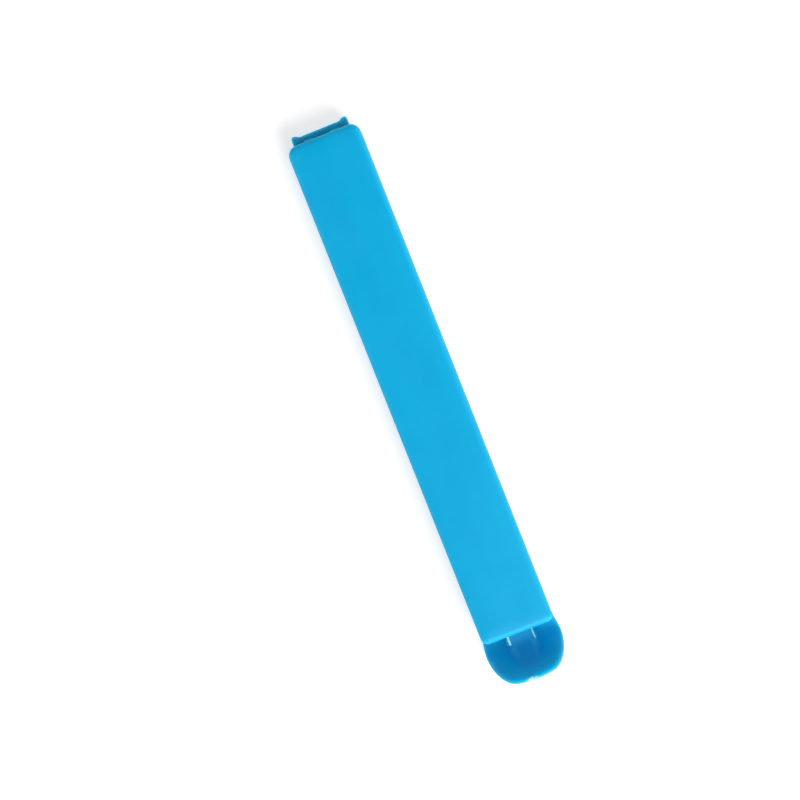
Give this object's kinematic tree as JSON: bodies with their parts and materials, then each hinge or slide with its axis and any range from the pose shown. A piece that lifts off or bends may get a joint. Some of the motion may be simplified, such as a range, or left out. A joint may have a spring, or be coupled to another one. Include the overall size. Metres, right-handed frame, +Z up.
{
  "type": "bag clip",
  "caption": "Snap clip for closing food bags: a channel-shaped cover hinged on a flat ribbed base that ends in an upturned thumb tab with a latch post.",
  "frame": {"origin": "middle of the closed clip's footprint, on the surface that its base lies on", "axes": "+X along the clip from the hinge to the thumb tab, +Y across it, +Z up through the cover"},
  "size_m": [0.1104, 0.0152, 0.0089],
  "materials": {
    "blue_plastic": "satin gloss, moulded polypropylene, slightly translucent"
  },
  "bodies": {
    "base": {"base": "blue_plastic"},
    "cover": {"cover": "blue_plastic"}
  },
  "joints": [
    {"name": "cover_hinge", "type": "hinge", "parent": "base", "child": "cover", "pos_m": [-0.05385, 0, 0.0029], "axis": [0, -1, 0], "range_deg": [0, 120]}
  ]
}
